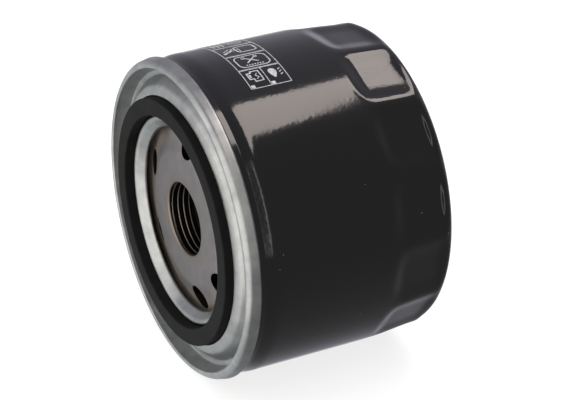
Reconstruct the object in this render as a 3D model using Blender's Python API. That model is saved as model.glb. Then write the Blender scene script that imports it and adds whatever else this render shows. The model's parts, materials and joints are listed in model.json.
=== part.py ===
"""Spin-on oil filter, as the separate pieces it is assembled from.

The filter's axis is +Y. The origin is on that axis in the plane of the gasket's sealing face,
so the open end faces -Y and the closed end of the can is towards +Y. +Z is up.
Lengths below are in millimetres; a depth is a distance along +Y from the gasket's face.
"""

import math

import bmesh
import bpy
import numpy as np
from mathutils import Matrix

MM = 0.001
GAP = 0.3                     # clearance left between pieces that touch

# Facets round each turned piece
SHELL_STEPS = 42              # three to each wrench flat
INNER_STEPS = 30
VALVE_STEPS = 22

# Gasket
GASKET_OUTER = 31.05          # radii of the square-cut ring
GASKET_INNER = 26.7
GASKET_DEPTH = 5.3

# Seaming cover, a thin pressed sheet
COVER_SHEET = 0.45
SEAM_RADIUS = 40.2
SEAM_FRONT = 2.1
SEAM_BACK = 5.2
CROWN_INNER = 38.0            # inner edge of the seam's crown
SINK_RADIUS = 37.1            # countersink, just inside the seam
SINK_DEPTH = 5.7
SINK_WIDTH = 1.3
PANEL_RADIUS = 33.7
PANEL_DEPTH = 2.35
GROOVE_DEPTH = GASKET_DEPTH + GAP
LIP_RADIUS = 23.2             # edge of the cover's centre hole
LIP_DEPTH = 4.4
LIP_SLOPE = 1.4               # width of the slope that runs in to that edge
COVER_BEND = 0.6              # outside radius of the sheet's bends
COMPOUND_WIDTH = 0.5          # ring of sealing compound inside the seam

# Can, a deep-drawn cup
CAN_RADIUS = 40.1
CAN_WALL = 0.6
NECK_RADIUS = 39.3
FLANGE_DEPTH = 3.9            # where the can's edge ends inside the seam
NECK_END = 6.8
SHOULDER_END = 8.7
CAN_END = 58.1
CAN_BEND = 0.8                # fillets of the neck and the shoulder
DOME_CORNER = 3.0
DIMPLE_RADIUS = 24.0          # shallow stiffening recess in the closed end
DIMPLE_DEPTH = 0.8
DIMPLE_SLOPE = 2.0
FLAT_COUNT = 14               # flats for a cap wrench
FLAT_RADIUS = 38.9            # centre of a flat from the axis, where it is first fully pressed
FLAT_TIP_RADIUS = 38.1        # the same at the closed end: 76 mm across flats
FLAT_PHASE = 83.0             # angle of one ridge between two flats, from +X towards +Z
FLAT_START = 38.8
FLAT_FULL = 45.2

# Base plate
BORE_RADIUS = 9.19            # minor radius of an M20 x 1.5 internal thread
BORE_MOUTH = 1.5              # rounding where the stud enters
NECK_OUTER = 12.6
NECK_TIP = 14.0
PLATE_FRONT = 4.0
PLATE_FLAT = 17.0             # radius of the raised centre
PLATE_SLOPE_END = 24.0
PLATE_FILLET = 3.0
PLATE_LEVEL = 6.35
PLATE_THICKNESS = 3.0
PLATE_EDGE = 36.5
INLET_CIRCLE = 20.2
INLET_RADIUS = 3.2
INLET_ANGLES = (26, 87, 161, 214, 288, 331)

# Drainback valve, a rubber disc behind the inlet holes
FLAP_HUB = 3.4                # radial thickness of its hub
FLAP_SEAT = 23.5              # where its lip first meets the plate
FLAP_EDGE = 27.0
FLAP_HEIGHT = 3.0
FLAP_LIP = 0.8

# Filter element
CAP_SHEET = 0.5
CAP_RADIUS = 34.3
CAP_FLANGE = 3.0
CAP_BEND = 0.9
CAP_COLLAR = 12.5             # collar of the front cap, inside the centre tube
DOME_CAP_HOLE = 11.4          # hole for the bypass valve in the back cap
VALVE_CAP_DEPTH = 14.4        # front face of the end cap beside the base plate
DOME_CAP_DEPTH = 46.8         # back face of the other end cap
POTTING = 1.8                 # thickness of each adhesive ring
TUBE_OUTER = 14.2
TUBE_WALL = 0.6
PLEAT_COUNT = 30
PLEAT_OUTER = 33.0
PLEAT_INNER = 15.8
PLEAT_TIP = 1.2               # widths of a fold's outer and inner tips
PLEAT_ROOT = 1.0
PAPER = 0.6
CLIP_HALF_WIDTH = 1.25
CLIP_SHEET = 0.35
CLIP_LEG = 4.0

# Bypass valve
SEAT_WELL_DEPTH = 43.0        # front face of the seat's floor
SEAT_HOLE = 5.5
SEAT_WELL = 11.0
SEAT_FLANGE = 13.2
CAGE_RADIUS = 10.1
CAGE_FLOOR = 31.0
CAGE_GUIDE = 2.6              # hole for the stem
CAGE_WINDOW = (30.0, 5.5, 6.0)
CAGE_WINDOW_DEPTH = 36.5
POPPET_RADIUS = 7.5
POPPET_FACE = 41.5
POPPET_SHEET = 0.6
SEAL_INNER = 3.2
STEM_RADIUS = 2.0
STEM_TIP = 29.0
SPRING_RADIUS = 4.9
SPRING_WIRE = 0.45            # half the wire's thickness
SPRING_TURNS = 4.5

# Element spring, a leaf between the element and the closed end
LEAF_SHEET = 0.6
LEAF_RING = (14.6, 17.2, 19.8)
LEAF_FACETS = 32
TONGUE_EVERY = 8              # in facets, so there are four tongues
TONGUE_WIDTH = 3


def clear_scene():
    """Removes everything that a new file holds."""
    for thing in list(bpy.data.objects):
        bpy.data.objects.remove(thing, do_unlink=True)


def finish(name, colour, roughness, metallic):
    """A plain Principled material."""
    material = bpy.data.materials.new(name)
    material.use_nodes = True
    shader = material.node_tree.nodes["Principled BSDF"]
    shader.inputs["Base Color"].default_value = (*colour, 1.0)
    shader.inputs["Roughness"].default_value = roughness
    shader.inputs["Metallic"].default_value = metallic
    return material


def add(name, mesh, material, crease=35.0):
    """Puts a bmesh in the scene as a named object, shaded smooth up to the crease angle."""
    bmesh.ops.recalc_face_normals(mesh, faces=mesh.faces)
    data = bpy.data.meshes.new(name)
    mesh.to_mesh(data)
    mesh.free()
    data.shade_smooth()
    data.set_sharp_from_angle(angle=math.radians(crease))
    data.materials.append(material)
    thing = bpy.data.objects.new(name, data)
    bpy.context.scene.collection.objects.link(thing)
    return thing


def rounded(corners, steps=1):
    """Turns (radius, depth, fillet) corners into points, with an arc of steps pieces at each fillet."""
    points = []
    count = len(corners)
    for i, (radius, depth, fillet) in enumerate(corners):
        here = np.array((radius, depth))
        if fillet == 0:
            points.append(here)
            continue
        before = np.array(corners[i - 1][:2]) - here
        after = np.array(corners[(i + 1) % count][:2]) - here
        before /= np.linalg.norm(before)
        after /= np.linalg.norm(after)
        half = math.acos(max(-1.0, min(1.0, float(before @ after)))) / 2
        reach = fillet / math.tan(half)
        middle = (before + after) / np.linalg.norm(before + after)
        centre = here + middle * fillet / math.sin(half)
        start = here + before * reach - centre
        end = here + after * reach - centre
        turn_by = math.atan2(start[0] * end[1] - start[1] * end[0], float(start @ end))
        for k in range(steps + 1):
            angle = turn_by * k / steps
            spin = np.array(((math.cos(angle), -math.sin(angle)), (math.sin(angle), math.cos(angle))))
            points.append(centre + spin @ start)
    return points


def sheet(path, thickness):
    """The closed outline of a bent sheet: a path, and the same path moved sideways by its thickness."""
    path = np.array(path)
    steps = np.diff(path, axis=0)
    steps /= np.linalg.norm(steps, axis=1)[:, None]
    sides = np.stack((-steps[:, 1], steps[:, 0]), axis=1)
    before = np.vstack((sides[:1], sides))
    after = np.vstack((sides, sides[-1:]))
    middle = before + after
    middle *= (2 / (middle * middle).sum(axis=1))[:, None]
    other = path + middle * thickness
    return list(path) + list(other[::-1])


def turned(outline, steps):
    """Spins a closed outline of (radius, depth) points about the filter's axis, into a bmesh."""
    mesh = bmesh.new()
    corners = [mesh.verts.new((radius * MM, depth * MM, 0.0)) for radius, depth in outline]
    sides = [mesh.edges.new((a, b)) for a, b in zip(corners, corners[1:] + corners[:1])]
    bmesh.ops.spin(
        mesh, geom=corners + sides, cent=(0, 0, 0), axis=(0, 1, 0), angle=2 * math.pi, steps=steps,
        use_merge=True,
    )
    bmesh.ops.remove_doubles(mesh, verts=mesh.verts, dist=1e-6)
    return mesh


def rows(start, end, count):
    """Evenly spaced depths between two depths, both left out."""
    return [start + (end - start) * k / (count + 1) for k in range(1, count + 1)]


def cut(target, cutters):
    """Cuts hidden tools out of an object with exact Booleans."""
    for cutter in cutters:
        cutter.hide_render = True
        cutter.display_type = "WIRE"
        tool = target.modifiers.new("cut", "BOOLEAN")
        tool.operation = "DIFFERENCE"
        tool.solver = "EXACT"
        tool.object = cutter


def drill(name, x, z, low, high, radius, sides=16):
    """A cylinder along the filter's axis, used as a cutter."""
    mesh = bmesh.new()
    bmesh.ops.create_cone(
        mesh, cap_ends=True, segments=sides, radius1=radius * MM, radius2=radius * MM,
        depth=(high - low) * MM,
    )
    bmesh.ops.rotate(mesh, verts=mesh.verts, cent=(0, 0, 0), matrix=Matrix.Rotation(math.pi / 2, 3, "X"))
    bmesh.ops.translate(mesh, verts=mesh.verts, vec=(x * MM, (low + high) / 2 * MM, z * MM))
    return add(name, mesh, CUTTER)


def flat_inset(angle, depth):
    """How far the wall is pressed in from the cylinder at an angle and a depth."""
    rise = min(max((depth - FLAT_START) / (FLAT_FULL - FLAT_START), 0.0), 1.0)
    rise = rise * rise * (3 - 2 * rise)
    taper = min(max((depth - FLAT_FULL) / (CAN_END - FLAT_FULL), 0.0), 1.0)
    flat = FLAT_RADIUS + (FLAT_TIP_RADIUS - FLAT_RADIUS) * taper
    pitch = 2 * math.pi / FLAT_COUNT
    from_middle = (angle - math.radians(FLAT_PHASE)) % pitch - pitch / 2
    return rise * max(CAN_RADIUS - flat / math.cos(from_middle), 0.0)


def press_flats(mesh):
    """Presses the wrench flats into the can's wall, fading out across its closed end."""
    for vert in mesh.verts:
        x, y, z = (value / MM for value in vert.co)
        radius = math.hypot(x, z)
        if radius < DIMPLE_RADIUS:
            continue
        share = min((radius - DIMPLE_RADIUS) / (CAN_RADIUS - DOME_CORNER - DIMPLE_RADIUS), 1.0)
        scale = 1 - share * flat_inset(math.atan2(z, x), y) / radius
        vert.co.x *= scale
        vert.co.z *= scale


def make_can(paint):
    """The cup: flange in the seam, neck, shoulder, wall and closed end, with one wall thickness."""
    wall = [
        (NECK_RADIUS, FLANGE_DEPTH, 0),
        (NECK_RADIUS, NECK_END, CAN_BEND),
        (CAN_RADIUS, SHOULDER_END, CAN_BEND),
    ]
    wall += [(CAN_RADIUS, depth, 0) for depth in (FLAT_START, *rows(FLAT_START, FLAT_FULL, 2), FLAT_FULL)]
    closed_end = [
        (CAN_RADIUS, CAN_END, DOME_CORNER),
        (DIMPLE_RADIUS + DIMPLE_SLOPE / 2, CAN_END, 0),
        (DIMPLE_RADIUS - DIMPLE_SLOPE / 2, CAN_END - DIMPLE_DEPTH, 0),
        (0.0, CAN_END - DIMPLE_DEPTH, 0),
    ]
    points = rounded(wall + closed_end[:2], steps=2)[:-1] + rounded(closed_end[1:])
    mesh = turned(sheet(points, CAN_WALL), SHELL_STEPS)
    press_flats(mesh)
    return add("can", mesh, paint, crease=50)


def make_cover(zinc):
    """The pressed cover, from the seam's skirt to the lip of the centre hole."""
    corners = [
        (SEAM_RADIUS, SEAM_BACK, 0),
        (SEAM_RADIUS, SEAM_FRONT, COVER_BEND),
        (CROWN_INNER, SEAM_FRONT, COVER_BEND),
        (SINK_RADIUS, SINK_DEPTH, 0),
        (SINK_RADIUS - SINK_WIDTH, SINK_DEPTH, 0),
        (PANEL_RADIUS, PANEL_DEPTH, 0),
        (GASKET_OUTER + GAP, PANEL_DEPTH, 0),
        (GASKET_OUTER + GAP, GROOVE_DEPTH, 0),
        (GASKET_INNER - GAP, GROOVE_DEPTH, 0),
        (GASKET_INNER - GAP, PANEL_DEPTH, COVER_BEND),
        (LIP_RADIUS + LIP_SLOPE, PANEL_DEPTH, COVER_BEND),
        (LIP_RADIUS, LIP_DEPTH, 0),
    ]
    return add("seaming_cover", turned(sheet(rounded(corners), -COVER_SHEET), SHELL_STEPS), zinc)


def make_seam_compound(sealant):
    """The ring of compound inside the seam, ahead of the can's edge."""
    low = SEAM_FRONT + COVER_SHEET + GAP
    high = FLANGE_DEPTH - GAP
    inner = (SEAM_RADIUS + CROWN_INNER - COMPOUND_WIDTH) / 2
    outer = inner + COMPOUND_WIDTH
    outline = [(inner, low), (outer, low), (outer, high), (inner, high)]
    return add("seam_compound", turned(outline, SHELL_STEPS), sealant)


def make_gasket(rubber):
    """The square-cut sealing ring."""
    edge = 0.35
    corners = [
        (GASKET_INNER, 0, edge),
        (GASKET_INNER, GASKET_DEPTH, 0),
        (GASKET_OUTER, GASKET_DEPTH, 0),
        (GASKET_OUTER, 0, edge),
    ]
    return add("gasket", turned(rounded(corners), SHELL_STEPS), rubber)


def make_base_plate(steel):
    """The thick plate: raised centre, drawn and threaded neck, slope and level rim, with its inlet holes."""
    centre_back = PLATE_FRONT + PLATE_THICKNESS
    rim_back = PLATE_LEVEL + PLATE_THICKNESS
    corners = [
        (BORE_RADIUS, NECK_TIP, 0),
        (BORE_RADIUS, PLATE_FRONT, BORE_MOUTH),
        (PLATE_FLAT, PLATE_FRONT, PLATE_FILLET),
        (PLATE_SLOPE_END, PLATE_LEVEL, PLATE_FILLET),
        (PLATE_EDGE, PLATE_LEVEL, 0),
        (PLATE_EDGE, rim_back, 0),
        (PLATE_SLOPE_END - 1, rim_back, 0),
        (PLATE_FLAT - 1, centre_back, 0),
        (NECK_OUTER, centre_back, 0),
        (NECK_OUTER, NECK_TIP, 0),
    ]
    plate = add("base_plate", turned(rounded(corners), SHELL_STEPS), steel)
    cutters = []
    for i, angle in enumerate(INLET_ANGLES):
        x = INLET_CIRCLE * math.cos(math.radians(angle))
        z = INLET_CIRCLE * math.sin(math.radians(angle))
        cutters.append(drill(f"inlet_drill_{i}", x, z, PLATE_FRONT - 1, rim_back + 1, INLET_RADIUS))
    cut(plate, cutters)
    return plate


def make_drainback_valve(silicone):
    """The rubber disc: a hub round the base plate's neck and a thin lip over the inlet holes."""
    front = PLATE_LEVEL + PLATE_THICKNESS + GAP
    hub = NECK_OUTER + 0.5
    shank = hub + FLAP_HUB
    corners = [
        (hub, front + 0.5),
        (shank, front + 0.5),
        (FLAP_SEAT, front),
        (FLAP_EDGE, front),
        (FLAP_EDGE + 0.4, front + FLAP_LIP),
        (FLAP_SEAT, front + FLAP_LIP),
        (shank + 0.8, front + FLAP_HEIGHT - 0.8),
        (shank, front + FLAP_HEIGHT),
        (hub, front + FLAP_HEIGHT),
    ]
    return add("drainback_valve", turned(corners, INNER_STEPS), silicone)


def make_valve_end_cap(plated):
    """The end cap beside the base plate, with a collar inside the tube and a rim round the pleats."""
    depth = VALVE_CAP_DEPTH
    corners = [
        (CAP_COLLAR, depth + CAP_FLANGE, 0),
        (CAP_COLLAR, depth, CAP_BEND),
        (CAP_RADIUS, depth, CAP_BEND),
        (CAP_RADIUS, depth + CAP_FLANGE, 0),
    ]
    return add("valve_end_cap", turned(sheet(rounded(corners), CAP_SHEET), INNER_STEPS), plated)


def make_dome_end_cap(plated):
    """The end cap towards the closed end, with a hole for the bypass valve."""
    depth = DOME_CAP_DEPTH
    corners = [
        (CAP_RADIUS, depth - CAP_FLANGE, 0),
        (CAP_RADIUS, depth, CAP_BEND),
        (DOME_CAP_HOLE, depth, 0),
    ]
    return add("dome_end_cap", turned(sheet(rounded(corners), CAP_SHEET), INNER_STEPS), plated)


def make_adhesive(name, low, resin):
    """A ring of adhesive that the pleats are set in."""
    inner = TUBE_OUTER + GAP
    outer = CAP_RADIUS - CAP_SHEET - GAP
    outline = [(inner, low), (outer, low), (outer, low + POTTING), (inner, low + POTTING)]
    return add(name, turned(outline, INNER_STEPS), resin)


def pleat_path():
    """The paper's middle line seen along the axis: narrow flat-topped folds, as (x, z) points."""
    points = []
    for fold in range(PLEAT_COUNT):
        middle = 2 * math.pi * fold / PLEAT_COUNT
        half_pitch = math.pi / PLEAT_COUNT
        for radius, width, turn in ((PLEAT_OUTER, PLEAT_TIP, 0.0), (PLEAT_INNER, PLEAT_ROOT, half_pitch)):
            for side in (-0.5, 0.5):
                angle = middle + turn + side * width / radius
                points.append((radius * math.cos(angle), radius * math.sin(angle)))
    return np.array(points)


def make_pleated_media(low, high, paper):
    """The folded paper as one endless band with a wall thickness."""
    path = pleat_path()
    ahead = np.roll(path, -1, axis=0) - path
    ahead /= np.linalg.norm(ahead, axis=1)[:, None]
    out_ahead = np.stack((ahead[:, 1], -ahead[:, 0]), axis=1)
    middle = out_ahead + np.roll(out_ahead, 1, axis=0)
    middle *= (2 / (middle * middle).sum(axis=1))[:, None]
    mesh = bmesh.new()
    loops = []
    for offset, depth in ((PAPER / 2, low), (PAPER / 2, high), (-PAPER / 2, high), (-PAPER / 2, low)):
        line = path + middle * offset
        loops.append([mesh.verts.new((x * MM, depth * MM, z * MM)) for x, z in line])
    for first, second in zip(loops, loops[1:] + loops[:1]):
        for i in range(len(path)):
            j = (i + 1) % len(path)
            mesh.faces.new((first[i], first[j], second[j], second[i]))
    return add("pleated_media", mesh, paper, crease=20)


def make_media_clip(low, high, tin):
    """The crimped channel that holds the two ends of the paper together, over one fold."""
    inner = CLIP_HALF_WIDTH
    outer = inner + CLIP_SHEET
    top = PLEAT_OUTER + PAPER / 2 + GAP
    crest = top + CLIP_SHEET
    foot = top - CLIP_LEG
    outline = [
        (foot, inner), (top, inner), (top, -inner), (foot, -inner),
        (foot, -outer), (crest, -outer), (crest, outer), (foot, outer),
    ]
    mesh = bmesh.new()
    ends = [[mesh.verts.new((x * MM, depth * MM, z * MM)) for x, z in outline] for depth in (low, high)]
    mesh.faces.new(ends[0])
    mesh.faces.new(ends[1][::-1])
    for i in range(len(outline)):
        j = (i + 1) % len(outline)
        mesh.faces.new((ends[0][i], ends[1][i], ends[1][j], ends[0][j]))
    return add("media_clip", mesh, tin)


def make_centre_tube(low, high, tin):
    """The perforated tube: a grid of panels with every other one left open, then given its wall."""
    around = 16
    along = 9
    mesh = bmesh.new()
    grid = []
    for row in range(along + 1):
        depth = low + (high - low) * row / along
        grid.append([
            mesh.verts.new((
                TUBE_OUTER * MM * math.cos(2 * math.pi * i / around),
                depth * MM,
                TUBE_OUTER * MM * math.sin(2 * math.pi * i / around),
            ))
            for i in range(around)
        ])
    for row in range(along):
        for i in range(around):
            opening = row % 2 == 1 and (i + row // 2 * 2) % 4 == 1
            if not opening:
                j = (i + 1) % around
                mesh.faces.new((grid[row][i], grid[row + 1][i], grid[row + 1][j], grid[row][j]))
    tube = add("centre_tube", mesh, tin)
    wall = tube.modifiers.new("wall", "SOLIDIFY")
    wall.thickness = TUBE_WALL * MM
    wall.offset = -1
    return tube


def make_bypass_seat(plated):
    """The flanged ring that the poppet closes: a flange on the end cap, a well and a floor with a hole."""
    corners = [
        (SEAT_FLANGE, DOME_CAP_DEPTH + GAP, 0),
        (SEAT_WELL, DOME_CAP_DEPTH + GAP, 0.4),
        (SEAT_WELL, SEAT_WELL_DEPTH, 0.8),
        (SEAT_HOLE, SEAT_WELL_DEPTH, 0),
    ]
    return add("bypass_seat", turned(sheet(rounded(corners), -CAP_SHEET), VALVE_STEPS), plated)


def make_bypass_cage(tin):
    """The spring's cage: a cup with four windows and a guide hole for the stem."""
    top = SEAT_WELL_DEPTH - GAP - CAP_SHEET
    corners = [
        (SEAT_WELL, top, 0),
        (CAGE_RADIUS, top, 0.4),
        (CAGE_RADIUS, CAGE_FLOOR, 1.0),
        (CAGE_GUIDE, CAGE_FLOOR, 0),
    ]
    cage = add("bypass_cage", turned(sheet(rounded(corners), -CAP_SHEET), VALVE_STEPS), tin)
    cutters = []
    for i in range(2):
        mesh = bmesh.new()
        bmesh.ops.create_cube(mesh, size=1.0)
        bmesh.ops.scale(mesh, verts=mesh.verts, vec=[side * MM for side in CAGE_WINDOW])
        spin = Matrix.Rotation(math.pi / 4 + i * math.pi / 2, 3, "Y")
        bmesh.ops.rotate(mesh, verts=mesh.verts, cent=(0, 0, 0), matrix=spin)
        bmesh.ops.translate(mesh, verts=mesh.verts, vec=(0, CAGE_WINDOW_DEPTH * MM, 0))
        cutters.append(add(f"cage_window_{i}", mesh, CUTTER))
    cut(cage, cutters)
    return cage


def make_bypass_poppet(tin):
    """The valve disc and the stem that guides it."""
    back = POPPET_FACE - POPPET_SHEET
    corners = [
        (0, POPPET_FACE, 0),
        (POPPET_RADIUS, POPPET_FACE, 0),
        (POPPET_RADIUS, back, 0),
        (STEM_RADIUS, back, 0),
        (STEM_RADIUS, STEM_TIP, 0.5),
        (0, STEM_TIP, 0),
    ]
    return add("bypass_poppet", turned(rounded(corners), VALVE_STEPS), tin)


def make_bypass_seal(rubber):
    """The rubber washer that the poppet presses on the seat."""
    low = POPPET_FACE + GAP
    high = SEAT_WELL_DEPTH - GAP
    outline = [(SEAL_INNER, low), (POPPET_RADIUS, low), (POPPET_RADIUS, high), (SEAL_INNER, high)]
    return add("bypass_seal", turned(outline, VALVE_STEPS), rubber)


def make_bypass_spring(spring_steel):
    """The coil spring between the cage's floor and the poppet."""
    low = CAGE_FLOOR + CAP_SHEET + GAP + SPRING_WIRE
    high = POPPET_FACE - POPPET_SHEET - GAP - SPRING_WIRE
    count = int(SPRING_TURNS * 10)
    curve = bpy.data.curves.new("bypass_spring", "CURVE")
    curve.dimensions = "3D"
    curve.bevel_depth = SPRING_WIRE * MM
    curve.bevel_resolution = 1
    curve.use_fill_caps = True
    coil = curve.splines.new("POLY")
    coil.points.add(count)
    for k in range(count + 1):
        share = k / count
        angle = 2 * math.pi * SPRING_TURNS * share
        x = SPRING_RADIUS * MM * math.cos(angle)
        z = SPRING_RADIUS * MM * math.sin(angle)
        coil.points[k].co = (x, (low + (high - low) * share) * MM, z, 1.0)
    curve.materials.append(spring_steel)
    spring = bpy.data.objects.new("bypass_spring", curve)
    bpy.context.scene.collection.objects.link(spring)
    return spring


def make_element_spring(spring_steel):
    """The leaf spring: a flat ring on the element with four tongues that reach up to the closed end."""
    flat = DOME_CAP_DEPTH + GAP
    tip = CAN_END - CAN_WALL - GAP - LEAF_SHEET
    ring = [(radius, flat) for radius in LEAF_RING]
    tongue = [(22.0, flat + 1.4), (24.6, flat + 5.2), (27.0, tip - 1.3), (29.0, tip), (31.0, tip)]
    line = ring + tongue
    mesh = bmesh.new()
    grid = [
        [
            mesh.verts.new((
                radius * MM * math.cos(2 * math.pi * i / LEAF_FACETS),
                depth * MM,
                radius * MM * math.sin(2 * math.pi * i / LEAF_FACETS),
            ))
            for i in range(LEAF_FACETS)
        ]
        for radius, depth in line
    ]
    for row in range(len(line) - 1):
        for i in range(LEAF_FACETS):
            if row < len(ring) - 1 or i % TONGUE_EVERY < TONGUE_WIDTH:
                j = (i + 1) % LEAF_FACETS
                mesh.faces.new((grid[row][i], grid[row][j], grid[row + 1][j], grid[row + 1][i]))
    bmesh.ops.delete(mesh, geom=[vert for vert in mesh.verts if not vert.link_faces], context="VERTS")
    leaf = add("element_spring", mesh, spring_steel)
    wall = leaf.modifiers.new("wall", "SOLIDIFY")
    wall.thickness = LEAF_SHEET * MM
    wall.offset = 1
    return leaf


clear_scene()
CUTTER = finish("cutter", (0.8, 0.2, 0.2), 0.5, 0.0)
PAINT = finish("black_paint", (0.012, 0.012, 0.013), 0.18, 0.0)
ZINC = finish("zinc_plate", (0.55, 0.56, 0.58), 0.34, 1.0)
RUBBER = finish("nitrile_rubber", (0.030, 0.030, 0.031), 0.62, 0.0)
STEEL = finish("oiled_steel", (0.21, 0.20, 0.20), 0.42, 1.0)
TIN = finish("tinplate", (0.50, 0.50, 0.49), 0.35, 1.0)
SPRING_STEEL = finish("spring_steel", (0.25, 0.24, 0.23), 0.35, 1.0)
PAPER_FINISH = finish("filter_paper", (0.72, 0.55, 0.27), 0.85, 0.0)
RESIN = finish("plastisol", (0.45, 0.13, 0.07), 0.5, 0.0)
SILICONE = finish("silicone_rubber", (0.42, 0.13, 0.05), 0.6, 0.0)
SEALANT = finish("seam_sealant", (0.35, 0.36, 0.33), 0.7, 0.0)

potting_low = VALVE_CAP_DEPTH + CAP_SHEET + GAP
potting_high = DOME_CAP_DEPTH - CAP_SHEET - GAP - POTTING
paper_low = potting_low + POTTING + GAP
paper_high = potting_high - GAP

make_can(PAINT)
make_cover(ZINC)
make_seam_compound(SEALANT)
make_gasket(RUBBER)
make_base_plate(STEEL)
make_drainback_valve(SILICONE)
make_valve_end_cap(TIN)
make_adhesive("valve_end_adhesive", potting_low, RESIN)
make_pleated_media(paper_low, paper_high, PAPER_FINISH)
make_media_clip(VALVE_CAP_DEPTH + CAP_FLANGE + GAP, DOME_CAP_DEPTH - CAP_FLANGE - GAP, TIN)
make_centre_tube(potting_low, DOME_CAP_DEPTH - CAP_SHEET - GAP, TIN)
make_adhesive("dome_end_adhesive", potting_high, RESIN)
make_dome_end_cap(TIN)
make_bypass_seat(TIN)
make_bypass_cage(TIN)
make_bypass_poppet(TIN)
make_bypass_seal(RUBBER)
make_bypass_spring(SPRING_STEEL)
make_element_spring(SPRING_STEEL)
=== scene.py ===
# %% [markdown]
# # A spin-on oil filter
#
# A spin-on filter is a steel can with a paper element inside. The engineering model already holds
# its nineteen pieces, in place and to size. This script gives the filter its looks. The four pieces
# that show are made again as fine surfaces, and every piece gets a finish built from nodes.
#
# The filter's axis is Y. Its open end faces -Y, and a depth is a distance along +Y. Sizes are written
# in millimetres, and `MM` turns them into the metres that Blender works in.

# %% Load the frame
import json
import math

import bmesh
import bpy
import numpy as np
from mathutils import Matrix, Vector


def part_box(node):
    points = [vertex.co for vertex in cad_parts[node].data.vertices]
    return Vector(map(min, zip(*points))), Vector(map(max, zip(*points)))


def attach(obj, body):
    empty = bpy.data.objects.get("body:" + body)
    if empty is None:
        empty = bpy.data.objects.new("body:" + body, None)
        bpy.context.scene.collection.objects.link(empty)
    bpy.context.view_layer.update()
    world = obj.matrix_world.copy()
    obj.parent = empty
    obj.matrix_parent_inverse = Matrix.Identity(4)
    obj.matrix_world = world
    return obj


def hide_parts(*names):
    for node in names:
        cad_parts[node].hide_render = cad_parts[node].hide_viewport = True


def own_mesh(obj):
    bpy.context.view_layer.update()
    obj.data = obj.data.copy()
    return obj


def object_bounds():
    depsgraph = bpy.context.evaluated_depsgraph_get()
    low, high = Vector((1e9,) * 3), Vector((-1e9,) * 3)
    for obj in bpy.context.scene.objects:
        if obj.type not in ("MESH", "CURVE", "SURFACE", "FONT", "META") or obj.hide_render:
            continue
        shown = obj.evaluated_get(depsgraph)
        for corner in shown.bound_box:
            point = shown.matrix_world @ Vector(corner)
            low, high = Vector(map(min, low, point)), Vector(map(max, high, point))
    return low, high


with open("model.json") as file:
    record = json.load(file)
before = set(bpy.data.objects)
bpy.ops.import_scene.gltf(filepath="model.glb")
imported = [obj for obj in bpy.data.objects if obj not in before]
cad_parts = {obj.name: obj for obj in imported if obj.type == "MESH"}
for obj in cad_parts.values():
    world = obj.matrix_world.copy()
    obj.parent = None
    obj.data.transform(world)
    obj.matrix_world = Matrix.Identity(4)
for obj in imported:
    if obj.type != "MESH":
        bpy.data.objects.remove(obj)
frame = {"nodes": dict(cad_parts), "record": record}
cad_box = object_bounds()
nodes = frame["nodes"]

MM = 0.001
print("frame:", len(nodes), "nodes, size in mm", [round(v / MM, 1) for v in cad_box[1] - cad_box[0]])

# %% [markdown]
# ## The camera
#
# A close camera with a wide lens would stretch the near end, so a long lens is used from further
# off. The camera stands over half a metre away, in front of the open end and above it.

# %% Place the camera
VIEW_TURN = math.radians(62.7)
VIEW_RISE = math.radians(28.7)
CAMERA_PLACE = Vector((0.44284, -0.19800, 0.27152))
LENS = 146.0

towards_camera = Vector((
    math.sin(VIEW_TURN) * math.cos(VIEW_RISE),
    -math.cos(VIEW_TURN) * math.cos(VIEW_RISE),
    math.sin(VIEW_RISE),
))
camera_data = bpy.data.cameras.new("camera")
camera_data.lens = LENS
camera = bpy.data.objects.new("camera", camera_data)
camera.location = CAMERA_PLACE
camera.rotation_euler = towards_camera.to_track_quat("Z", "Y").to_euler()
bpy.context.scene.collection.objects.link(camera)
bpy.context.scene.camera = camera
print("camera distance in mm", round(CAMERA_PLACE.length / MM))

# %% [markdown]
# ## Turning a profile into a solid
#
# Most pieces of a filter are pressed or spun, so they are round. Each is a profile, which is a line
# of radius and depth, carried round the axis. The points are worked out as one whole array: rows
# follow the profile and columns go round. Where a row shrinks to a point it becomes one vertex, so
# that the solid has no pinhole at its pole.


# %% Grids into faces
def solid(grids):
    """Vertices and faces of closed grids. Columns always join up; rows join up, or end in two points.

    Each face has the corners (row, column), (row, column + 1), (row + 1, column + 1), (row + 1, column).
    The volume under the faces, a sum of first . (second x third), tells which way they point: where it
    is negative, each face is turned over.
    """
    points = []
    faces = []
    start = 0
    for grid, rows_join in grids:
        rows, columns = grid.shape[:2]
        index = start + np.arange(rows * columns).reshape(rows, columns)
        if rows_join:
            index = np.vstack((index, index[:1]))
        else:
            index[0] = index[0, 0]
            index[-1] = index[-1, 0]
        beside = np.roll(index, -1, axis=1)
        quads = np.stack((index[:-1], beside[:-1], beside[1:], index[1:]), axis=-1)
        corner = grid.reshape(-1, 3)
        first, second, third, fourth = (corner[column] for column in (quads.reshape(-1, 4) - start).T)
        volume = np.einsum("ij,ij->", first, np.cross(second, third))
        volume += np.einsum("ij,ij->", first, np.cross(third, fourth))
        if volume < 0:
            quads = quads[..., ::-1]
        points.append(corner)
        if rows_join:
            faces.append(quads.reshape(-1, 4))
        else:
            faces.append(quads[1:-1].reshape(-1, 4))
            for cap in (quads[0], quads[-1]):
                faces.append(cap[cap != np.roll(cap, 1, axis=1)].reshape(-1, 3))
        start += rows * columns
    points = np.vstack(points)
    used = np.unique(np.concatenate([block.ravel() for block in faces]))
    renumber = np.zeros(len(points), int)
    renumber[used] = np.arange(len(used))
    return points[used], [face for block in faces for face in renumber[block].tolist()]
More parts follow.
